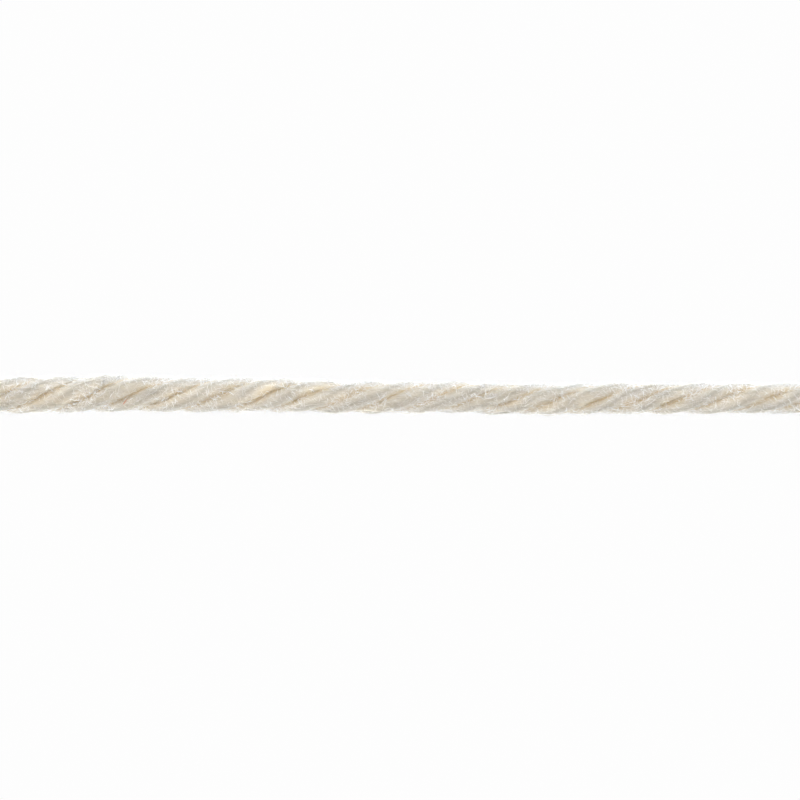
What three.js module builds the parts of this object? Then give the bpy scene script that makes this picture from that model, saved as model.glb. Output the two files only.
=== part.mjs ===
// A straight cut length of four-ply knitting yarn, lying on a flat surface.
// Millimetres, +Z up. The strand runs along X, and its origin is the middle of its underside.
//
// The strand is one solid. Its outline is four rounded lobes, one for each ply, which turn as they
// go along the strand. They turn from the top towards +Y as X grows, so that the ridges seen from
// above rise to the right: an S twist.

import * as THREE from 'three';

// Size of the strand
const LENGTH = 80;
const LAY_AT_START = 14.95; // length of one full turn of a ply, at the -X end
const LAY_AT_END = 13.8; // the same at the +X end, where the yarn is a little thinner
const TURNS_AT_MIDDLE = 0.314; // how far the first groove has turned from the top, at X = 0

// The strand is laid nearly straight. It gets thinner to the right and wanders a little sideways.
// x: distance along the strand, radius: out to the crest of a ply, drift: sideways, towards +Y
const COURSE = [
  { x: -40, radius: 1.51, drift: -0.06 },
  { x: -31, radius: 1.5, drift: -0.08 },
  { x: -24, radius: 1.49, drift: 0.13 },
  { x: -17, radius: 1.43, drift: 0.0 },
  { x: -11, radius: 1.37, drift: 0.06 },
  { x: -3, radius: 1.3, drift: -0.1 },
  { x: 4, radius: 1.27, drift: -0.02 },
  { x: 12, radius: 1.27, drift: -0.15 },
  { x: 20, radius: 1.26, drift: 0.0 },
  { x: 32, radius: 1.24, drift: 0.08 },
  { x: 40, radius: 1.22, drift: 0.04 },
];

// The plies, in the order in which they come along the strand
// share: the part of the strand's girth that the ply takes up
const PLIES = [
  { share: 0.243 },
  { share: 0.284 },
  { share: 0.235 },
  { share: 0.238 },
];
const RING_RADIUS = 0.46; // from the strand's axis to a ply's axis, in crest radii
const PLY_RADIUS = 0.54; // radius of a ply, in crest radii
const FLAT_DEPTH = 0.12; // how far each crest is pressed flat where it lies on the surface

// How finely the surface is divided
const POINTS_PER_PLY = 8;
const STEP_LENGTH = 0.64; // along the strand

const WOOL = new THREE.MeshStandardMaterial({
  name: 'cream_wool',
  color: 0xdad3c6,
  roughness: 0.95,
  metalness: 0,
});

const FULL_TURN = 2 * Math.PI;
const HALF_PLY = Math.PI / 4; // half the angle of one of four even plies

// A column of COURSE at distance x, eased from each row to the next
function courseAt(x, column) {
  let row = 0;
  while (row < COURSE.length - 2 && x > COURSE[row + 1].x) {
    row += 1;
  }
  const from = COURSE[row];
  const to = COURSE[row + 1];
  const eased = THREE.MathUtils.smoothstep(x, from.x, to.x);
  return THREE.MathUtils.lerp(from[column], to[column], eased);
}

// Turns that the twist has made at distance x, as the lay changes evenly along the strand
function turnsAt(x) {
  const turnsPerMmAtStart = 1 / LAY_AT_START;
  const turnsPerMmAtEnd = 1 / LAY_AT_END;
  const atMiddle = (turnsPerMmAtStart + turnsPerMmAtEnd) / 2;
  const growth = (turnsPerMmAtEnd - turnsPerMmAtStart) / LENGTH;
  return TURNS_AT_MIDDLE + atMiddle * x + growth * x * x / 2;
}

// Distance of a ply's surface from the strand's axis, in crest radii
// angle: from the middle of the ply, where the ply next to it is met at HALF_PLY
function lobe(angle) {
  const sideways = RING_RADIUS * Math.sin(angle);
  return RING_RADIUS * Math.cos(angle) + Math.sqrt(PLY_RADIUS * PLY_RADIUS - sideways * sideways);
}

// The outline before it is twisted and sized: a turn and a radius for each point
function plyOutline() {
  const outline = [];
  let groove = 0;
  for (const { share } of PLIES) {
    for (let i = 0; i < POINTS_PER_PLY; i += 1) {
      const across = i / POINTS_PER_PLY;
      outline.push({
        turn: groove + share * across,
        radius: lobe((2 * across - 1) * HALF_PLY),
      });
    }
    groove += share;
  }
  return outline;
}

// The points of one section of the strand, at distance x
function sectionAt(x, outline) {
  const radius = courseAt(x, 'radius');
  const drift = courseAt(x, 'drift');
  const axisHeight = radius - FLAT_DEPTH;
  return outline.map((point) => {
    const angle = FULL_TURN * (turnsAt(x) - point.turn); // from the top, towards +Y
    const y = drift + radius * point.radius * Math.sin(angle);
    const z = axisHeight + radius * point.radius * Math.cos(angle);
    return new THREE.Vector3(x, y, Math.max(z, 0));
  });
}

// A closed solid from a row of sections with the same number of points, closed by flat ends
function solidFromSections(sections) {
  const count = sections[0].length;
  const points = sections.flat();
  const faces = [];
  for (let s = 0; s < sections.length - 1; s += 1) {
    for (let i = 0; i < count; i += 1) {
      const a = s * count + i;
      const b = s * count + (i + 1) % count;
      faces.push(a, b, a + count);
      faces.push(b, b + count, a + count);
    }
  }
  const lastSection = (sections.length - 1) * count;
  for (let i = 1; i < count - 1; i += 1) {
    faces.push(0, i + 1, i);
    faces.push(lastSection, lastSection + i, lastSection + i + 1);
  }
  const geometry = new THREE.BufferGeometry().setFromPoints(points);
  geometry.setIndex(faces);
  return geometry;
}

function yarnStrand() {
  const outline = plyOutline();
  const steps = Math.round(LENGTH / STEP_LENGTH);
  const sections = [];
  for (let s = 0; s <= steps; s += 1) {
    const x = -LENGTH / 2 + LENGTH * s / steps;
    sections.push(sectionAt(x, outline));
  }
  const geometry = solidFromSections(sections);
  geometry.computeBoundingBox();
  const middle = geometry.boundingBox.getCenter(new THREE.Vector3());
  geometry.translate(0, -middle.y, 0);
  geometry.computeVertexNormals();

  const strand = new THREE.Mesh(geometry, WOOL);
  strand.name = 'yarn_strand';
  return strand;
}

const yarn = new THREE.Group();
yarn.add(yarnStrand());

export default yarn;
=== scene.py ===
import math

import bpy
import numpy as np
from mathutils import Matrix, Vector


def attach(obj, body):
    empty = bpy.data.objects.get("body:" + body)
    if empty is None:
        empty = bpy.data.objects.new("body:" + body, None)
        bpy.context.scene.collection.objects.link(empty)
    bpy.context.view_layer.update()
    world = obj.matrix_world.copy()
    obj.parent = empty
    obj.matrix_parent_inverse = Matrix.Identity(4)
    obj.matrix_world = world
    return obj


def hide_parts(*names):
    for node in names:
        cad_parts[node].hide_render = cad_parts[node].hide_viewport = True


# A straight cut length of cream wool knitting yarn, four plies laid together with an S twist.
# Sizes are in millimetres until a mesh is made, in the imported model's frame: +X runs along the
# strand, +Z is up from the surface that it lies on. A turn is counted from the strand's top
# towards +Y. A place across a ply goes from -1 at its first groove to 1 at its last one.

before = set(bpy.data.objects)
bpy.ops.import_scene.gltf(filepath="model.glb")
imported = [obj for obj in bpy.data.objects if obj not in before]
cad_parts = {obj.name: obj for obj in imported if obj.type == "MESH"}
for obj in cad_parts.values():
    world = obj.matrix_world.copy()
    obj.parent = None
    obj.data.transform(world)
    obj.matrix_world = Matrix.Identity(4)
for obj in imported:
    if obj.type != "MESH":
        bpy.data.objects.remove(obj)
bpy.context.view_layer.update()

MM = 0.001
FULL_TURN = 2 * math.pi
STRAND_NODE = "yarn_strand"

# Seeds of the random draws
STRAND_SEED = 1207
PLY_FIBRES_SEED = 1208  # for the first ply, and one more for each ply after it
GROOVE_FIBRES_SEED = 1216
BOLD_HAIRS_SEED = 1217
FINE_HAIRS_SEED = 1218
FUZZ_SEED = 1219
CUT_ENDS_SEED = 1227
TUFTS_SEED = 1237
LUMPS_SEED = 1247

# The strand, as in the model
LENGTH = 80.0
LAY_AT_START = 14.95  # length of one full turn of a ply, at the -X end
LAY_AT_END = 13.8  # the same at the +X end
TURNS_AT_MIDDLE = 0.314  # how far the first groove has turned from the top, at X = 0
COURSE = [  # x, radius out to the crest of a ply, drift sideways towards +Y
    dict(x=-40.0, radius=1.51, drift=-0.06),
    dict(x=-31.0, radius=1.50, drift=-0.08),
    dict(x=-24.0, radius=1.49, drift=0.13),
    dict(x=-17.0, radius=1.43, drift=0.00),
    dict(x=-11.0, radius=1.37, drift=0.06),
    dict(x=-3.0, radius=1.30, drift=-0.10),
    dict(x=4.0, radius=1.27, drift=-0.02),
    dict(x=12.0, radius=1.27, drift=-0.15),
    dict(x=20.0, radius=1.26, drift=0.00),
    dict(x=32.0, radius=1.24, drift=0.08),
    dict(x=40.0, radius=1.22, drift=0.04),
]
PLY_NAMES = ["ply_1", "ply_2", "ply_3", "ply_4"]
SHARES = np.array([0.243, 0.284, 0.235, 0.238])  # each ply's part of the strand's girth
GROOVES = np.concatenate([[0.0], np.cumsum(SHARES)[:-1]])  # the turn at which each ply begins
RING_RADIUS = 0.46  # from the strand's axis to a ply's axis, in crest radii
PLY_RADIUS = 0.54  # radius of a ply, in crest radii
FLAT_DEPTH = 0.12  # how far each crest is pressed flat where it lies on the surface
HALF_PLY = math.pi / 4  # half the angle of one of four even plies
HALF_ARC = 1.08  # half the width of a ply's surface, round its curve
PLY_STRETCH = 1.16  # length of a ply's crest to a millimetre of the strand

# The dense core of each ply, a little inside the model's outline, under a thin shell of fibres
SHELL_AT_CREST = 0.06  # from the outline in to the core
SHELL_AT_GROOVE = 0.01
FIBRE_LAYER = 0.065  # how far the fibres mostly reach above the core
GROOVE_GAP = 0.001  # from a ply's flank to the plane where it meets the next ply
FLANK_RADII = [0.50, 0.32, 0.16, 0.03]  # points down a hidden flank, in crest radii
SURFACE_POINTS = 25  # across a ply's surface
SECTION_STEP = 0.25
END_ROUND = 0.5  # length over which a ply's cut end rounds off
END_CLOSING = 0.98  # how nearly it closes, where 1 is to a point

# Slow unevenness of the spinning, as waves over a ply's surface
LUMP_SIZE = 0.028  # in crest radii
LUMP_WAVES = 5
LUMP_RATES_ALONG = (0.08, 0.35)  # waves to a millimetre
LUMP_RATES_ACROSS = (-0.5, 0.5)  # waves from a ply's middle to its groove

# Streaks, as waves that are short across a ply and slow along it
# count: of waves, short: the range of waves to a unit across,
# slow: the spread of waves to a millimetre along
BUNDLES = dict(count=10, short=(1.2, 4.0), slow=0.15)  # on a core, in millimetres across
BUNDLE_SIZE = 0.006  # how far they stand out
TINT_PATCHES = dict(count=8, short=(0.2, 0.8), slow=0.12)  # of fibres, in places across
PATCH_STRENGTH = 0.4  # of the range of tints
TINT_SPREAD = 0.25  # from one fibre to the next

# The finest streaks, in a space of their own for each ply
SPACE_ALONG = 0.5  # steps of the space to a millimetre
SPACE_ACROSS = 20.0
SPACE_SLANT = 0.35  # across to a millimetre along
SPACE_BETWEEN_PLIES = 7.0

# How a ply's colours, with their painted shade, stray sideways and spread along the strand, as slow
# waves
# period: of a wave along the strand, shift: how much sooner it comes on each next ply, in periods
# The darker middle of a ply that strays here is painted shade, not a colour of the wool.
SHADE_BAND_STRAY = 0.08  # of the darker middle of a ply, in ply widths
SHADE_BAND_WAVES = [
    dict(period=5.3, shift=0.31),
    dict(period=8.9, shift=0.57),
]
GROOVE_STRAY = 0.055  # of a ply's colours away from its middle, as a share of their distance
GROOVE_WAVES = [
    dict(period=3.7, shift=0.23),
    dict(period=2.3, shift=0.71),
]
SECOND_GROOVE_SHIFT = 0.43  # how much sooner they come at a ply's last groove

# Fibres on each ply and along the grooves
# count: on each ply or groove, steps: points along a fibre, length: the mean one,
# wave_length and crimp: of a fibre's waves, crimp_rise: the part of the crimp that goes up,
# lift: the mean height above the core, or in a groove the most
# spread: of the angle in degrees, or in a groove of the place in turns
# aside: how far from a ply's middle its fibres gather, or 0 where they lie all over it
FIBRE_RADIUS = 0.019  # of a common fibre, and the least height of any fibre's middle
CORE_FIBRES = dict(
    count=1900, steps=8, length=4.0, spread=16.0, aside=0.0,
    wave_length=(1.4, 2.8), crimp=(0.01, 0.06), crimp_rise=0.5, lift=0.045, radius=FIBRE_RADIUS,
)
SHELL_FIBRES = dict(
    count=600, steps=8, length=1.6, spread=30.0, aside=0.62,
    wave_length=(1.4, 2.8), crimp=(0.03, 0.08), crimp_rise=0.5, lift=0.05, radius=0.012,
)
GROOVE_FIBRES = dict(
    count=260, steps=10, length=3.5, spread=0.012,
    wave_length=(1.1, 2.6), crimp=(0.02, 0.05), crimp_rise=0.3, lift=0.07, radius=FIBRE_RADIUS,
)
FIBRE_ANGLE = 27.0  # degrees between a fibre and its ply, which was spun the other way
LENGTH_RANGE = (0.6, 1.4)  # of a fibre, in mean lengths
RADIUS_RANGE = (0.75, 1.25)
END_THINNING = 0.6  # how much thinner a fibre is at its ends
MIDDLES_WITHIN = 0.97  # how far across a ply a fibre's middle lies at most
ENDS_WITHIN = 0.985  # the same for its ends, unless that leaves it too short
CRIMP_WITHIN = 0.99  # the same for every point of it
ASIDE_SPREAD = 0.25
LEAST_SLANT = 0.05  # counted for a fibre that lies almost along its ply
LEAST_HALF_LENGTH = 0.5
PAST_END = 0.2  # how far a fibre on a ply goes past the strand's end at most
GROOVE_PAST_END = 0.1
HIGHEST_LIFT = 4  # in mean lifts
FIBRE_BASE = 0.012  # how high above the core a fibre lies flat
FIBRE_DEEPEST = -0.01

# Hairs that have worked loose, mostly in tufts along the grooves, which they bridge
# length: the range, lift: the mean height, spread: of a tuft's hairs round the strand, in turns
# in_tufts: the share of hairs that lie in tufts, free: the share with one end free
BOLD_HAIRS = dict(
    count=900, steps=7, length=(0.2, 0.7), lift=0.06, radius=0.026,
    in_tufts=0.96, spread=0.03, free=0.35,
)
FINE_HAIRS = dict(
    count=1900, steps=7, length=(0.25, 0.8), lift=0.07, radius=0.016,
    in_tufts=0.8, spread=0.04, free=0.35,
)
FUZZ = dict(
    count=7300, steps=5, length=(0.15, 0.5), lift=0.15, radius=0.011,
    in_tufts=0.75, spread=0.07, free=0.9,
)
TUFT_SPACING = 3.3  # along each groove
TUFT_LENGTH = 1.1  # spread of a tuft's hairs along the strand
BRIDGE = 0.3  # how high over a groove a hair stays, in depths of the groove
HAIR_BEND = 1.2  # spread of a hair's steady bend, in radians to a millimetre
HAIR_SWAY = (0.5, 2.6)  # the most that its waves bend it, likewise
HAIR_WAVE = (0.6, 1.6)  # length of its waves
HAIR_WOBBLE = 0.25  # how much its waves lift it, in its own height
HAIR_ROOT = 0.01  # how high it starts above the fibres
HAIR_ARCH = 0.02  # the least that it rises from there
HAIR_RADIUS_RANGE = (0.7, 1.3)

# A scrap of dry grass that is caught in the wool, thinner at its ends
# along: its length along the strand, turned: its length round it, in turns
FLECK = dict(
    x=-23.28, turn=-0.082, along=0.30, turned=0.050, lift=0.10, radius=0.045, thinning=0.5, steps=8,
)

# Fibres that stand out at the cut ends
# per_ply: at each end, root: length inside the ply, least_reach and most_reach: outside it,
# more_reach: the mean of what goes beyond the least
# across: how far across the ply they begin at most, stray: the spread of what their tips add
# inner: from the axis to where the way out to them begins, inset: how much shorter that is
# than the ply's outline, both in crest radii, least_depth: the least share of it, squared
# splay: the mean share by which their tips lean outwards
# least_place: in the ply's colours, places: the range above it
STUBS = dict(
    per_ply=150, steps=5, root=0.7, least_reach=0.05, more_reach=0.25, most_reach=1.0,
    across=0.9, stray=0.12, least_depth=0.02, inner=0.08, inset=0.12,
    splay=0.02, splay_spread=0.05, least_place=0.25, places=0.5,
)

# The map of every piece, from which the fibres take their tint, and its margins
FIBRE_MAP = "OFBake"
MAP_MARGIN = 0.01
TINTS_WIDTH = 0.96  # of the map, from the darkest tint to the lightest
SIDE_WIDTH = 0.003  # of the map, from one side of a fibre to the next
STRAND_MAP_MARGIN = 0.005
PLY_MAP_MARGIN = 0.05


def course_at(x, column):
    """A column of COURSE at distance x, eased from each row to the next."""
    places = np.array([row["x"] for row in COURSE])
    values = np.array([row[column] for row in COURSE])
    row = np.clip(np.searchsorted(places, x) - 1, 0, len(places) - 2)
    share = np.clip((x - places[row]) / (places[row + 1] - places[row]), 0, 1)
    eased = share * share * (3 - 2 * share)
    return values[row] + (values[row + 1] - values[row]) * eased


def turns_at(x):
    """Turns that the twist has made at distance x, as the lay changes evenly along the strand."""
    at_start, at_end = 1 / LAY_AT_START, 1 / LAY_AT_END
    growth = (at_end - at_start) / LENGTH
    return TURNS_AT_MIDDLE + (at_start + at_end) / 2 * x + growth * x * x / 2


def lobe(across):
    """Distance of a ply's outline from the strand's axis, in crest radii."""
    angle = across * HALF_PLY
    sideways = RING_RADIUS * np.sin(angle)
    return RING_RADIUS * np.cos(angle) + np.sqrt(PLY_RADIUS**2 - sideways**2)


def shell(across):
    """How far a ply's core lies inside its outline, in millimetres."""
    crown = np.sqrt(np.cos(across * math.pi / 2))
    return SHELL_AT_GROOVE + (SHELL_AT_CREST - SHELL_AT_GROOVE) * crown


def lump_waves():
    """Wave numbers and phases of the spinning's unevenness, the same ones at every call."""
    rng = np.random.default_rng(LUMPS_SEED)
    along = rng.uniform(*LUMP_RATES_ALONG, LUMP_WAVES) * rng.choice([-1, 1], LUMP_WAVES)
    across = rng.uniform(*LUMP_RATES_ACROSS, LUMP_WAVES)
    return along, across, rng.random((LUMP_WAVES, len(PLY_NAMES)))


def lumps(ply, x, across):
    """How far a ply's surface stands out at a place, in crest radii, fading towards its grooves."""
    total = 0.0
    for along_rate, across_rate, phase in zip(*lump_waves()):
        total = total + np.sin(FULL_TURN * (along_rate * x + across_rate * across + phase[ply]))
    return LUMP_SIZE * total / math.sqrt(LUMP_WAVES) * np.cos(across * math.pi / 2)


def core_radius(ply, x, across):
    """Distance of a ply's dense core from the strand's axis, in millimetres."""
    return course_at(x, "radius") * (lobe(across) + lumps(ply, x, across)) - shell(across)


def spread_out(*columns):
    """Points whose coordinates are these columns, each repeated to the shape of them all."""
    return np.stack(np.broadcast_arrays(*columns), -1)


def around_axis(x, turn, radius):
    """Points at a turn and a distance from the strand's axis."""
    angle = FULL_TURN * turn
    y = course_at(x, "drift") + radius * np.sin(angle)
    z = course_at(x, "radius") - FLAT_DEPTH + radius * np.cos(angle)
    return spread_out(x, y, z)


def ply_turn(ply, x, across):
    """The turn of a point that lies across a ply."""
    return turns_at(x) - GROOVES[ply] - SHARES[ply] * (across + 1) / 2


def above_surface(points, least):
    """The points, with none lower than least above the surface that the strand lies on."""
    points[..., 2] = np.maximum(points[..., 2], least)
    return points


def kept_inside(share, margin):
    """A share from 0 to 1, drawn in to keep this margin at both ends."""
    return share * (1 - 2 * margin) + margin


def mesh_piece(name, points, faces, uv, material, attributes=()):
    """A smooth object from points in millimetres and triangles, which rides on the strand."""
    mesh = bpy.data.meshes.new(name)
    mesh.vertices.add(len(points))
    mesh.vertices.foreach_set("co", (points * MM).astype(np.float32).ravel())
    mesh.loops.add(faces.size)
    mesh.loops.foreach_set("vertex_index", faces.astype(np.int32).ravel())
    mesh.polygons.add(len(faces))
    mesh.polygons.foreach_set("loop_start", np.arange(len(faces), dtype=np.int32) * 3)
    mesh.polygons.foreach_set("use_smooth", np.ones(len(faces), bool))
    for label, values in attributes:
        kind = "FLOAT" if values.ndim == 1 else "FLOAT_VECTOR"
        key = "value" if values.ndim == 1 else "vector"
        attribute = mesh.attributes.new(label, kind, "POINT")
        attribute.data.foreach_set(key, values.astype(np.float32).ravel())
    layer = mesh.uv_layers.new(name=FIBRE_MAP)
    layer.data.foreach_set("uv", uv[faces.ravel()].astype(np.float32).ravel())
    mesh.update(calc_edges=True)
    mesh.validate()
    mesh.materials.append(material)
    piece = bpy.data.objects.new(name, mesh)
    bpy.context.scene.collection.objects.link(piece)
    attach(piece, "root")
    return piece


# Materials

# Numbers of a mix node's colour sockets
MIX_FIRST = 6
MIX_SECOND = 7
MIX_RESULT = 2


def srgb(red, green, blue):
    """Linear colour from the sRGB numbers 0 to 255."""
    shares = [v / 255 for v in (red, green, blue)]
    return tuple(v / 12.92 if v <= 0.04045 else ((v + 0.055) / 1.055) ** 2.4 for v in shares)


# Colours across a ply, from its first groove to its last one. Besides the wool's cream they hold
# painted shade: a darker band along the ply's middle, and warm darkening at both grooves that
# stands in for light bounced between the plies.
PLY_COLOURS_AND_SHADE = [
    (0.00, srgb(216, 188, 141)),
    (0.03, srgb(222, 199, 157)),
    (0.10, srgb(232, 218, 191)),
    (0.25, srgb(233, 224, 207)),
    (0.50, srgb(206, 197, 179)),
    (0.75, srgb(233, 224, 207)),
    (0.90, srgb(232, 218, 191)),
    (0.97, srgb(222, 199, 157)),
    (1.00, srgb(216, 188, 141)),
]
STREAK_SHADES = [
    (0.32, (0.70, 0.69, 0.66)),
    (0.68, (0.92, 0.91, 0.89)),
]
FIBRE_TINTS = [
    (0.00, (0.82, 0.815, 0.80)),
    (1.00, (1.00, 1.00, 1.00)),
]
SHELL_FIBRE_COLOURS = [
    (0.00, srgb(243, 235, 224)),
    (1.00, srgb(251, 246, 238)),
]
HAIR_COLOURS = [
    (0.00, srgb(247, 243, 236)),
    (1.00, srgb(255, 254, 251)),
]
GRASS_COLOURS = [
    (0.35, srgb(204, 124, 84)),
    (0.65, srgb(226, 162, 124)),
]


def new_material(name):
    """A material, its nodes and its shader."""
    material = bpy.data.materials.new(name)
    material.use_nodes = True
    shader = material.node_tree.nodes["Principled BSDF"]
    return material, material.node_tree, shader


def colour_ramp(tree, stops, share):
    """The colour at a share, from these (position, colour) stops."""
    ramp = tree.nodes.new("ShaderNodeValToRGB")
    elements = ramp.color_ramp.elements
    while len(elements) < len(stops):
        elements.new(0.5)
    for element, (position, colour) in zip(elements, stops):
        element.position = position
        element.color = (*colour, 1.0)
    tree.links.new(share, ramp.inputs["Fac"])
    return ramp.outputs["Color"]


def multiplied(tree, first, second):
    """The product of two colours."""
    mix = tree.nodes.new("ShaderNodeMix")
    mix.data_type = "RGBA"
    mix.blend_type = "MULTIPLY"
    mix.inputs["Factor"].default_value = 1.0
    tree.links.new(first, mix.inputs[MIX_FIRST])
    tree.links.new(second, mix.inputs[MIX_SECOND])
    return mix.outputs[MIX_RESULT]


def attribute_output(tree, name, output):
    """An output of one of the mesh's attributes."""
    node = tree.nodes.new("ShaderNodeAttribute")
    node.attribute_name = name
    return node.outputs[output]


def fibre_map(tree):
    """The two parts of the fibres' map: a fibre's tint, and its place across the ply."""
    uv = tree.nodes.new("ShaderNodeUVMap")
    uv.uv_map = FIBRE_MAP
    parts = tree.nodes.new("ShaderNodeSeparateXYZ")
    tree.links.new(uv.outputs["UV"], parts.inputs["Vector"])
    return parts.outputs["X"], parts.outputs["Y"]


def let_light_through(shader):
    """Light passes through a fibre, because it is thinner than the light's path in wool."""
    shader.inputs["Subsurface Weight"].default_value = 1.0
    shader.inputs["Subsurface Radius"].default_value = (1.0, 1.0, 1.0)
    shader.inputs["Subsurface Scale"].default_value = 0.1 * MM


def ply_material():
    """Spun wool: streaks of fibre along the ply, with painted shade along its middle and painted
    warm shade in the grooves.
    """
    material, tree, shader = new_material("spun_wool")
    across = attribute_output(tree, "across", "Fac")
    grain = tree.nodes.new("ShaderNodeTexNoise")
    grain.inputs["Scale"].default_value = 1.0
    grain.inputs["Detail"].default_value = 5.0
    tree.links.new(attribute_output(tree, "fibre_space", "Vector"), grain.inputs["Vector"])
    # The ply's colours carry painted shade: darker along its middle, warm and darker in its
    # grooves.
    colour = colour_ramp(tree, PLY_COLOURS_AND_SHADE, across)
    shade = colour_ramp(tree, STREAK_SHADES, grain.outputs["Fac"])
    tree.links.new(multiplied(tree, colour, shade), shader.inputs["Base Color"])

    bump = tree.nodes.new("ShaderNodeBump")
    bump.inputs["Strength"].default_value = 0.6
    bump.inputs["Distance"].default_value = 0.03 * MM
    tree.links.new(grain.outputs["Fac"], bump.inputs["Height"])
    tree.links.new(bump.outputs["Normal"], shader.inputs["Normal"])
    shader.inputs["Roughness"].default_value = 0.9
    shader.inputs["Specular IOR Level"].default_value = 0.08
    shader.inputs["Subsurface Weight"].default_value = 0.8
    shader.inputs["Subsurface Radius"].default_value = (1.0, 0.95, 0.9)
    shader.inputs["Subsurface Scale"].default_value = 1.0 * MM
    return material


def fibre_material():
    """The fibres of a ply, each with a tint, in the ply's colours with their painted shade in the
    middle and in the grooves.
    """
    material, tree, shader = new_material("wool_fibre")
    tint_share, place = fibre_map(tree)
    tint = colour_ramp(tree, FIBRE_TINTS, tint_share)
    # The ply's colours, with painted shade along its middle and painted warm shade at its grooves.
    colour = colour_ramp(tree, PLY_COLOURS_AND_SHADE, place)
    tree.links.new(multiplied(tree, tint, colour), shader.inputs["Base Color"])
    shader.inputs["Roughness"].default_value = 0.7
    shader.inputs["Specular IOR Level"].default_value = 0.08
    let_light_through(shader)
    return material


def hair_material(name, colours):
    """Paler fibres, each with a colour of its own."""
    material, tree, shader = new_material(name)
    tint_share, _ = fibre_map(tree)
    tree.links.new(colour_ramp(tree, colours, tint_share), shader.inputs["Base Color"])
    shader.inputs["Roughness"].default_value = 0.6
    shader.inputs["Specular IOR Level"].default_value = 0.12
    return material


def shell_fibre_material():
    """The palest fibres of a ply."""
    material = hair_material("shell_wool", SHELL_FIBRE_COLOURS)
    let_light_through(material.node_tree.nodes["Principled BSDF"])
    return material


def grass_material():
    """Dry grass, reddish and a little uneven."""
    material, tree, shader = new_material("dry_grass")
    place = tree.nodes.new("ShaderNodeTexCoord")
    grain = tree.nodes.new("ShaderNodeTexNoise")
    grain.inputs["Scale"].default_value = 6.0
    tree.links.new(place.outputs["Generated"], grain.inputs["Vector"])
    colour = colour_ramp(tree, GRASS_COLOURS, grain.outputs["Fac"])
    tree.links.new(colour, shader.inputs["Base Color"])
    shader.inputs["Roughness"].default_value = 0.7
    return material


# The four plies

def streaks(rng, kind, x, side):
    """Uneven streaks at distance x and a place to the side, mostly between -1 and 1."""
    total = 0.0
    for _ in range(kind["count"]):
        short = rng.uniform(*kind["short"]) * rng.choice([-1, 1])
        slow = rng.normal(0, kind["slow"])
        total = total + np.sin(FULL_TURN * (short * side + slow * x + rng.random()))
    return total / math.sqrt(kind["count"])


def slow_waves(waves, ply, x, sooner=0.0):
    """The sum of some slow waves along the strand."""
    return sum(
        np.sin(FULL_TURN * (x / wave["period"] + wave["shift"] * ply + sooner)) for wave in waves
    )


def colour_place(ply, x, across):
    """The place in a ply's colours and painted shade, 0 to 1, as they stray and spread along the
    strand.
    """
    place = (across + 1) / 2
    moved = place + SHADE_BAND_STRAY * slow_waves(SHADE_BAND_WAVES, ply, x) * 4 * place * (1 - place)
    sooner = np.where(place > 0.5, SECOND_GROOVE_SHIFT, 0.0)
    spread = slow_waves(GROOVE_WAVES, ply, x, sooner)
    return np.clip(0.5 + (moved - 0.5) * (1 + GROOVE_STRAY * spread), 0, 1)


def ply_section():
    """Places across a ply round its section, and their radii on its flanks, 0 on its surface."""
    surface = np.sin(np.linspace(-math.pi / 2, math.pi / 2, SURFACE_POINTS))
    flank = np.ones(len(FLANK_RADII))
    across = np.concatenate([surface, flank, -flank])
    radii = np.concatenate([np.zeros(SURFACE_POINTS), FLANK_RADII, FLANK_RADII[::-1]])
    return across, radii


def rod_faces(sections, count):
    """Triangles round a row of sections of count points each, and over both ends."""
    index = np.arange(sections * count).reshape(sections, count)
    a, b = index[:-1], np.roll(index, -1, 1)[:-1]
    c, d = index[1:], np.roll(index, -1, 1)[1:]
    sides = np.concatenate([np.stack([a, b, c], -1), np.stack([b, d, c], -1)]).reshape(-1, 3)
    first, last = index[0], index[-1]
    caps = [(first[0], first[i + 1], first[i]) for i in range(1, count - 1)]
    caps += [(last[0], last[i], last[i + 1]) for i in range(1, count - 1)]
    return np.concatenate([sides, np.array(caps)])


def ply_body(rng, ply):
    """The points, triangles, colour places, streak space and map of one ply."""
    across, flank_radii = ply_section()
    sections = round(LENGTH / SECTION_STEP) + 1
    x = np.linspace(-LENGTH / 2, LENGTH / 2, sections)[:, None]
    crest = course_at(x, "radius")
    arc = across * HALF_ARC

    bundles = streaks(rng, BUNDLES, x, arc - math.tan(math.radians(FIBRE_ANGLE)) * x)
    fade = np.cos(across * math.pi / 2)
    surface = core_radius(ply, x, across) + bundles * BUNDLE_SIZE * fade
    radius = np.where(flank_radii > 0, flank_radii * crest, surface)
    reach = 1 - GROOVE_GAP / (math.pi * SHARES[ply] * radius)
    points = around_axis(x, ply_turn(ply, x, np.clip(across, -reach, reach)), radius)

    closing = np.clip((END_ROUND - (LENGTH / 2 - np.abs(x))) / END_ROUND, 0, END_CLOSING)
    width = np.sqrt(1 - closing**2)[..., None]
    middle = around_axis(x, ply_turn(ply, x, 0.0), crest * RING_RADIUS)
    points = above_surface(middle + (points - middle) * width, 0.0)

    space_across = (arc - SPACE_SLANT * x) * SPACE_ACROSS
    streak_space = spread_out(x * SPACE_ALONG, space_across, ply * SPACE_BETWEEN_PLIES)
    ring = np.arange(len(across)) / len(across)
    map_along = kept_inside(x / LENGTH + 0.5, STRAND_MAP_MARGIN)
    map_across = (ply + kept_inside(ring, PLY_MAP_MARGIN)) / len(PLY_NAMES)
    return dict(
        points=points.reshape(-1, 3),
        faces=rod_faces(sections, len(across)),
        places=colour_place(ply, x, across).ravel(),
        streak_space=streak_space.reshape(-1, 3),
        uv=spread_out(map_along, map_across).reshape(-1, 2),
    )


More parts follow.
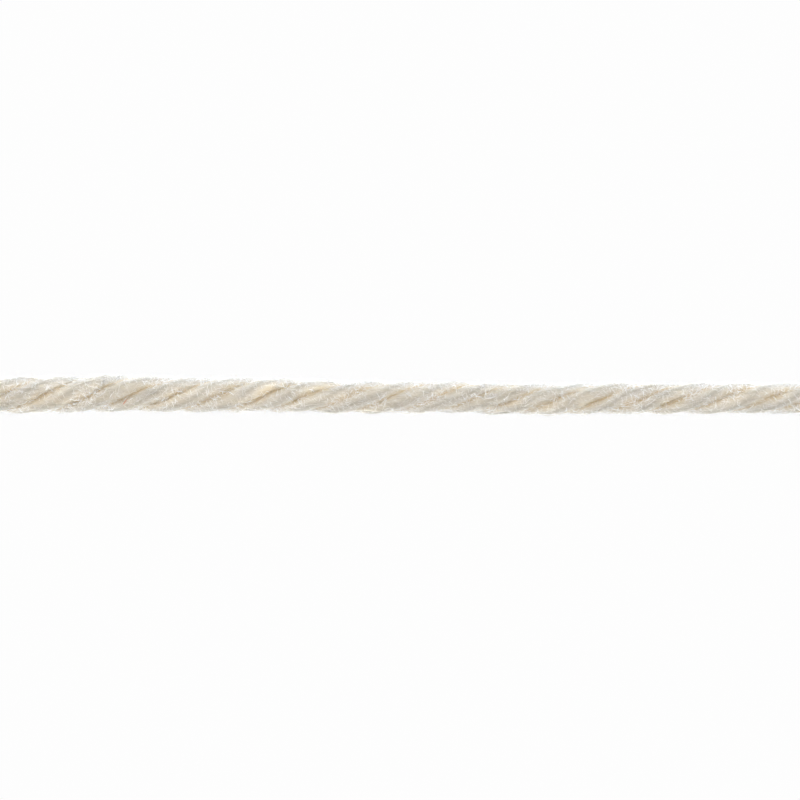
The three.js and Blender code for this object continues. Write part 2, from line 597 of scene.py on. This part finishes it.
def plied_strand(rng, material):
    """The four plies as one piece."""
    bodies = [ply_body(rng, ply) for ply in range(len(PLY_NAMES))]
    first_point = 0
    for body in bodies:
        body["faces"] = body["faces"] + first_point
        first_point += len(body["points"])
    joined = {key: np.concatenate([body[key] for body in bodies]) for key in bodies[0]}
    attributes = [("across", joined["places"]), ("fibre_space", joined["streak_space"])]
    return mesh_piece(
        "plied_strand", joined["points"], joined["faces"], joined["uv"], material, attributes
    )


# Fibres, as thin tubes with three sides
SIDES = 3


def unit(vectors):
    """The vectors' directions."""
    return vectors / np.maximum(np.linalg.norm(vectors, axis=-1, keepdims=True), 1e-9)


def outward_from_axis(paths):
    """Directions away from the strand's axis."""
    x = paths[..., 0]
    axis = around_axis(x, np.zeros_like(x), np.zeros_like(x))
    return unit(paths - axis)


def tube_faces(fibres, steps):
    """Triangles round each fibre and over its ends."""
    index = np.arange(fibres * steps * SIDES).reshape(fibres, steps, SIDES)
    a, b = index[:, :-1], np.roll(index, -1, 2)[:, :-1]
    c, d = index[:, 1:], np.roll(index, -1, 2)[:, 1:]
    sides = np.concatenate([np.stack([a, c, d], -1), np.stack([a, d, b], -1)]).reshape(-1, 3)
    caps = np.concatenate([index[:, 0], index[:, -1][:, ::-1]])
    return np.concatenate([sides, caps])


def fibre_tubes(name, paths, radii, tint, place, material):
    """One piece of tubes, one along each row of paths. place: of each point in PLY_COLOURS_AND_SHADE."""
    fibres, steps, _ = paths.shape
    tangent = unit(np.gradient(paths, axis=1))
    side = unit(np.cross(tangent, outward_from_axis(paths)))
    up = np.cross(side, tangent)
    angles = (math.pi / 2 + np.arange(SIDES) * FULL_TURN / SIDES)[:, None]
    spokes = np.cos(angles) * side[..., None, :] + np.sin(angles) * up[..., None, :]
    points = above_surface(paths[..., None, :] + radii[..., None, None] * spokes, 0.0)

    u = MAP_MARGIN + tint[:, None, None] * TINTS_WIDTH + SIDE_WIDTH * np.arange(SIDES)
    v = kept_inside(np.clip(place, 0, 1)[..., None], MAP_MARGIN)
    uv = spread_out(u, v).reshape(-1, 2)
    return mesh_piece(name, points.reshape(-1, 3), tube_faces(fibres, steps), uv, material)


def fibre_radii(rng, radius, radius_range, count, steps):
    """Radii along each fibre, which gets thinner at both ends."""
    t = np.linspace(-1, 1, steps)
    return (radius * rng.uniform(*radius_range, count))[:, None] * (1 - END_THINNING * t**6)


def crimp_of(rng, kind, x):
    """The size of each fibre's crimp, and its waves sideways and up, between -1 and 1."""
    count = len(x)
    wave_length = rng.uniform(*kind["wave_length"], count)[:, None]
    phases = rng.uniform(0, FULL_TURN, (2, count, 1))
    size = rng.uniform(*kind["crimp"], count)[:, None]
    sideways, up = np.sin(FULL_TURN * x / wave_length + phases)
    return size, sideways, up


def ply_fibres(name, rng, ply, kind, material):
    """Fibres that lie along one ply, slanting across it as they were spun."""
    count, steps = kind["count"], kind["steps"]
    t = np.linspace(-1, 1, steps)
    x_middle = rng.uniform(-LENGTH / 2, LENGTH / 2, count)
    anywhere = rng.uniform(-MIDDLES_WITHIN, MIDDLES_WITHIN, count)
    to_one_side = np.clip(rng.normal(kind["aside"], ASIDE_SPREAD, count), 0, MIDDLES_WITHIN)
    beside = to_one_side * rng.choice([-1, 1], count)
    across_middle = beside if kind["aside"] else anywhere
    angle = np.radians(rng.normal(FIBRE_ANGLE, kind["spread"], count))
    slant = np.tan(angle) * PLY_STRETCH / HALF_ARC
    half = kind["length"] * rng.uniform(*LENGTH_RANGE, count) / 2
    room = (ENDS_WITHIN - np.abs(across_middle)) / np.maximum(np.abs(slant), LEAST_SLANT)
    half = np.minimum(half, np.maximum(room, LEAST_HALF_LENGTH))
    half = np.minimum(half, LENGTH / 2 + PAST_END - np.abs(x_middle))
    x = x_middle[:, None] + half[:, None] * t

    crimp, sideways, up = crimp_of(rng, kind, x)
    across = across_middle[:, None] + slant[:, None] * half[:, None] * t
    across = np.clip(across + crimp / HALF_ARC * sideways, -CRIMP_WITHIN, CRIMP_WITHIN)
    rise = np.minimum(rng.exponential(kind["lift"], count), HIGHEST_LIFT * kind["lift"])
    lift = rise[:, None] * (1 - t**4) + kind["crimp_rise"] * crimp * up
    lift = np.maximum(FIBRE_BASE + lift, FIBRE_DEEPEST)
    radius = core_radius(ply, x, across) + lift
    paths = above_surface(around_axis(x, ply_turn(ply, x, across), radius), FIBRE_RADIUS)

    radii = fibre_radii(rng, kind["radius"], RADIUS_RANGE, count, steps)
    patches = streaks(rng, TINT_PATCHES, x_middle, across_middle)
    tint = 0.5 + PATCH_STRENGTH * patches + rng.normal(0, TINT_SPREAD, count)
    tint = np.clip(tint, 0, 1)
    return fibre_tubes(name, paths, radii, tint, colour_place(ply, x, across), material)


def bridge(x, across):
    """How high above a ply's surface a hair stays where it crosses a groove."""
    return course_at(x, "radius") * BRIDGE * (1 - lobe(across))


def bridged_radius(x, turn):
    """Distance from the axis of a hair that bridges the grooves, and its place in colour."""
    girth = np.mod(turns_at(x) - turn, 1.0)
    ply = np.clip(np.searchsorted(GROOVES, girth, side="right") - 1, 0, len(SHARES) - 1)
    across = np.clip(2 * (girth - GROOVES[ply]) / SHARES[ply] - 1, -1, 1)
    return core_radius(ply, x, across) + FIBRE_LAYER + bridge(x, across), (across + 1) / 2


def groove_fibres(rng, kind, material):
    """Fibres that lie along the bottom of each groove, between its two plies."""
    count, steps = kind["count"] * len(GROOVES), kind["steps"]
    groove = np.tile(GROOVES, kind["count"])[:, None]
    t = np.linspace(-1, 1, steps)
    half = rng.uniform(*LENGTH_RANGE, count) * kind["length"] / 2
    x_middle = rng.uniform(-LENGTH / 2, LENGTH / 2, count)
    half = np.minimum(half, LENGTH / 2 + GROOVE_PAST_END - np.abs(x_middle))
    x = x_middle[:, None] + half[:, None] * t

    crimp, sideways, up = crimp_of(rng, kind, x)
    aside = rng.normal(0, kind["spread"], count)[:, None]
    drift = rng.normal(0, kind["spread"], count)[:, None]
    girth = FULL_TURN * course_at(x, "radius")
    turn = turns_at(x) - groove + (aside + drift * t + crimp / girth * sideways)
    radius, place = bridged_radius(x, turn)
    lift = kind["lift"] * rng.random(count)[:, None] + kind["crimp_rise"] * crimp * up
    bottom = core_radius(0, x, 1.0) + FIBRE_LAYER  # where any two plies meet
    radius = np.maximum(bottom, radius - bridge(x, 1.0)) + lift
    paths = above_surface(around_axis(x, turn, radius), FIBRE_RADIUS)
    radii = fibre_radii(rng, kind["radius"], RADIUS_RANGE, count, steps)
    # Lying in the grooves, they take the ply colours' painted warm groove shade.
    return fibre_tubes("groove_fibres", paths, radii, rng.random(count), place, material)


def tufts():
    """Where hairs gather: the x of each tuft and the groove that it lies in."""
    rng = np.random.default_rng(TUFTS_SEED)
    places = np.arange(-LENGTH / 2, LENGTH / 2, TUFT_SPACING)
    x = np.concatenate([places + rng.uniform(0, TUFT_SPACING, len(places)) for _ in GROOVES])
    return x, np.repeat(GROOVES, len(places))


def hair_starts(rng, kind):
    """The x and the turn at which each hair begins, in a tuft or anywhere."""
    count = kind["count"]
    tuft_x, tuft_groove = tufts()
    tuft = rng.integers(0, len(tuft_x), count)
    in_tuft = rng.random(count) < kind["in_tufts"]
    x_tuft = tuft_x[tuft] + rng.normal(0, TUFT_LENGTH, count)
    x = np.where(in_tuft, x_tuft, rng.uniform(-LENGTH / 2, LENGTH / 2, count))
    past_end = np.abs(x) > LENGTH / 2
    x = np.where(past_end, np.sign(x) * LENGTH - x, x)  # turned back in from the strand's end
    groove = turns_at(x) - tuft_groove[tuft] + rng.normal(0, kind["spread"], count)
    return x, np.where(in_tuft, groove, rng.random(count))


def loose_hairs(name, rng, kind, material):
    """Curled hairs that leave the surface, bridge the grooves and mostly come back to it."""
    count, steps = kind["count"], kind["steps"]
    length = rng.uniform(*kind["length"], count)
    step = (length / (steps - 1))[:, None]
    along = step * np.arange(steps)
    bend = rng.normal(0, HAIR_BEND, count)[:, None]
    sway = rng.uniform(*HAIR_SWAY, count)[:, None]
    period = rng.uniform(*HAIR_WAVE, count)[:, None]
    phase = rng.uniform(0, FULL_TURN, (2, count, 1))
    wave = FULL_TURN * along / period
    heading = rng.uniform(0, FULL_TURN, count)[:, None] + bend * along
    heading = heading - sway * period / FULL_TURN * np.cos(wave + phase[0])

    x_start, turn_start = hair_starts(rng, kind)
    x = x_start[:, None] + np.cumsum(np.cos(heading) * step, 1)
    girth = FULL_TURN * course_at(x, "radius")
    turn = turn_start[:, None] + np.cumsum(np.sin(heading) * step / girth, 1)
    radius, place = bridged_radius(x, turn)

    share = np.linspace(0, 1, steps)
    height = np.minimum(rng.exponential(kind["lift"], count), length)[:, None]
    free = rng.random(count)[:, None] < kind["free"]
    rise = np.where(free, np.sin(share * math.pi / 2), np.sin(share * math.pi))
    wobble = HAIR_WOBBLE * height * np.sin(wave + phase[1])
    lift = HAIR_ROOT + (height + HAIR_ARCH) * rise + wobble * rise
    paths = above_surface(around_axis(x, turn, radius + lift), kind["radius"])
    radii = fibre_radii(rng, kind["radius"], HAIR_RADIUS_RANGE, count, steps)
    return fibre_tubes(name, paths, radii, rng.random(count), place, material)


def fleck(kind, material):
    """One short scrap that lies across a ply."""
    t = np.linspace(-1, 1, kind["steps"])[None, :]
    x = kind["x"] + kind["along"] / 2 * t
    turn = kind["turn"] + kind["turned"] / 2 * t
    radius, place = bridged_radius(x, turn)
    paths = around_axis(x, turn, radius + kind["lift"])
    radii = kind["radius"] * (1 - kind["thinning"] * t**2)
    return fibre_tubes("fleck", paths, radii, np.array([0.5]), place, material)


def cut_end_fibres(rng, kind, material):
    """Short stubs that make each cut end a soft brush."""
    count, steps = kind["per_ply"] * len(PLY_NAMES) * 2, kind["steps"]
    ply = (np.arange(count) % len(PLY_NAMES))[:, None]
    end = np.where(np.arange(count) < count // 2, -1, 1)[:, None]
    t = np.linspace(0, 1, steps)
    reach = kind["least_reach"] + rng.exponential(kind["more_reach"], count)
    reach = np.minimum(reach, kind["most_reach"])[:, None]
    x = end * (LENGTH / 2 - kind["root"] + (kind["root"] + reach) * t)
    across = rng.uniform(-kind["across"], kind["across"], count)[:, None]
    across = across + rng.normal(0, kind["stray"], count)[:, None] * t
    depth = np.sqrt(rng.uniform(kind["least_depth"], 1, count))[:, None]
    splay = 1 + rng.normal(kind["splay"], kind["splay_spread"], count)[:, None] * t**2
    radius = course_at(x, "radius") * (kind["inner"] + (lobe(across) - kind["inset"]) * depth)
    radius = radius * splay
    paths = above_surface(around_axis(x, ply_turn(ply, x, across), radius), FIBRE_RADIUS)
    radii = fibre_radii(rng, FIBRE_RADIUS, RADIUS_RANGE, count, steps)
    place = kind["least_place"] + kind["places"] * rng.random(count)[:, None] + 0 * t
    return fibre_tubes("cut_end_fibres", paths, radii, rng.random(count), place, material)


# Surroundings

PHOTO_WIDTH = 800  # pixels
PIXEL = 0.085  # millimetres of the strand to a pixel of the photograph
STRAND_SLOPE = 0.4  # degrees by which the strand falls to the right in the photograph
STRAND_RISE = 3.15  # pixels from the picture's centre up to the strand's axis
CAMERA_HEIGHT = 340.0  # above the strand's axis
SENSOR_WIDTH = 36.0
NEAREST_SEEN = 0.01  # metres
FARTHEST_SEEN = 10.0

FLOOR_SIZE = 6.0  # metres
FLOOR_GLOW = 0.985

# The room round the table, pale low down and dark above, by how high a direction points
SKY_STRENGTH = 6.8
FRONT_SKY = [  # towards -Y
    (0.00, (0.85, 0.92, 1.00)),
    (0.17, (0.85, 0.92, 1.00)),
    (0.23, (0.01, 0.01, 0.01)),
]
BACK_SKY = [  # towards +Y
    (0.00, (0.24, 0.33, 0.46)),
    (0.47, (0.24, 0.33, 0.46)),
    (0.53, (0.01, 0.01, 0.01)),
]

# The large soft light, almost straight above the strand
KEY_AZIMUTH = 95  # degrees from +X towards +Y
KEY_ELEVATION = 75  # degrees above the surface
KEY_DISTANCE = 0.6  # metres
KEY_SIZE = 0.35  # metres
KEY_POWER = 5.2  # watts
KEY_COLOUR = (1.0, 0.94, 0.88)


def camera():
    """Looks straight down on the strand, at the photograph's scale."""
    data = bpy.data.cameras.new("camera")
    data.sensor_width = SENSOR_WIDTH
    data.lens = SENSOR_WIDTH * CAMERA_HEIGHT / (PHOTO_WIDTH * PIXEL)
    data.clip_start = NEAREST_SEEN
    data.clip_end = FARTHEST_SEEN
    eye = bpy.data.objects.new("camera", data)
    strand_middle = course_at(0.0, "radius") - FLAT_DEPTH
    eye.location = Vector((0.0, -STRAND_RISE * PIXEL, CAMERA_HEIGHT + strand_middle)) * MM
    eye.rotation_euler = (0.0, 0.0, math.radians(STRAND_SLOPE))
    bpy.context.scene.collection.objects.link(eye)
    bpy.context.scene.camera = eye


def key_light():
    """A soft light that faces the strand."""
    data = bpy.data.lights.new("key", "AREA")
    data.shape = "SQUARE"
    data.size = KEY_SIZE
    data.energy = KEY_POWER
    data.color = KEY_COLOUR
    light = bpy.data.objects.new("key", data)
    azimuth, elevation = math.radians(KEY_AZIMUTH), math.radians(KEY_ELEVATION)
    level = math.cos(elevation)
    away = Vector((math.cos(azimuth) * level, math.sin(azimuth) * level, math.sin(elevation)))
    light.location = away * KEY_DISTANCE
    light.rotation_mode = "QUATERNION"
    light.rotation_quaternion = away.to_track_quat("Z", "Y")
    bpy.context.scene.collection.objects.link(light)


def floor():
    """A white floor that glows like a light table."""
    bpy.ops.mesh.primitive_plane_add(size=FLOOR_SIZE, location=(0, 0, 0))
    plane = bpy.context.object
    plane.name = "floor"
    material, _, shader = new_material("white_floor")
    shader.inputs["Base Color"].default_value = (0.0, 0.0, 0.0, 1.0)
    shader.inputs["Specular IOR Level"].default_value = 0.0
    shader.inputs["Emission Color"].default_value = (1.0, 1.0, 1.0, 1.0)
    shader.inputs["Emission Strength"].default_value = FLOOR_GLOW
    plane.data.materials.append(material)


def sky():
    """A room that is pale low down and dark above, and goes over evenly from front to back."""
    world = bpy.data.worlds.new("studio")
    world.use_nodes = True
    tree = world.node_tree
    direction = tree.nodes.new("ShaderNodeTexCoord")
    parts = tree.nodes.new("ShaderNodeSeparateXYZ")
    tree.links.new(direction.outputs["Generated"], parts.inputs["Vector"])
    towards_back = tree.nodes.new("ShaderNodeMath")  # 0 in the front, 1 at the back
    towards_back.operation = "MULTIPLY_ADD"
    towards_back.inputs[1].default_value = 0.5
    towards_back.inputs[2].default_value = 0.5
    tree.links.new(parts.outputs["Y"], towards_back.inputs[0])
    mix = tree.nodes.new("ShaderNodeMix")
    mix.data_type = "RGBA"
    tree.links.new(towards_back.outputs[0], mix.inputs["Factor"])
    tree.links.new(colour_ramp(tree, FRONT_SKY, parts.outputs["Z"]), mix.inputs[MIX_FIRST])
    tree.links.new(colour_ramp(tree, BACK_SKY, parts.outputs["Z"]), mix.inputs[MIX_SECOND])
    background = tree.nodes["Background"]
    background.inputs["Strength"].default_value = SKY_STRENGTH
    tree.links.new(mix.outputs[MIX_RESULT], background.inputs["Color"])
    bpy.context.scene.world = world
    bpy.context.scene.view_settings.view_transform = "Standard"


def fibres_on_strand():
    """Every piece that lies on the plies."""
    fibre = fibre_material()
    shell_fibre = shell_fibre_material()
    hair = hair_material("loose_wool", HAIR_COLOURS)
    pieces = []
    for ply, ply_name in enumerate(PLY_NAMES):
        rng = np.random.default_rng(PLY_FIBRES_SEED + ply)
        pieces.append(ply_fibres(ply_name + "_core_fibres", rng, ply, CORE_FIBRES, fibre))
        pieces.append(ply_fibres(ply_name + "_shell_fibres", rng, ply, SHELL_FIBRES, shell_fibre))
    rng = np.random.default_rng(GROOVE_FIBRES_SEED)
    pieces.append(groove_fibres(rng, GROOVE_FIBRES, fibre))
    for name, seed, kind in (
        ("bold_hairs", BOLD_HAIRS_SEED, BOLD_HAIRS),
        ("fine_hairs", FINE_HAIRS_SEED, FINE_HAIRS),
        ("fuzz", FUZZ_SEED, FUZZ),
    ):
        pieces.append(loose_hairs(name, np.random.default_rng(seed), kind, hair))
    pieces.append(fleck(FLECK, grass_material()))
    pieces.append(cut_end_fibres(np.random.default_rng(CUT_ENDS_SEED), STUBS, fibre))
    return pieces


def yarn():
    """The strand and every piece on it."""
    strand = plied_strand(np.random.default_rng(STRAND_SEED), ply_material())
    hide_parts(STRAND_NODE)
    on_strand = fibres_on_strand()


camera()
key_light()
floor()
sky()
yarn()
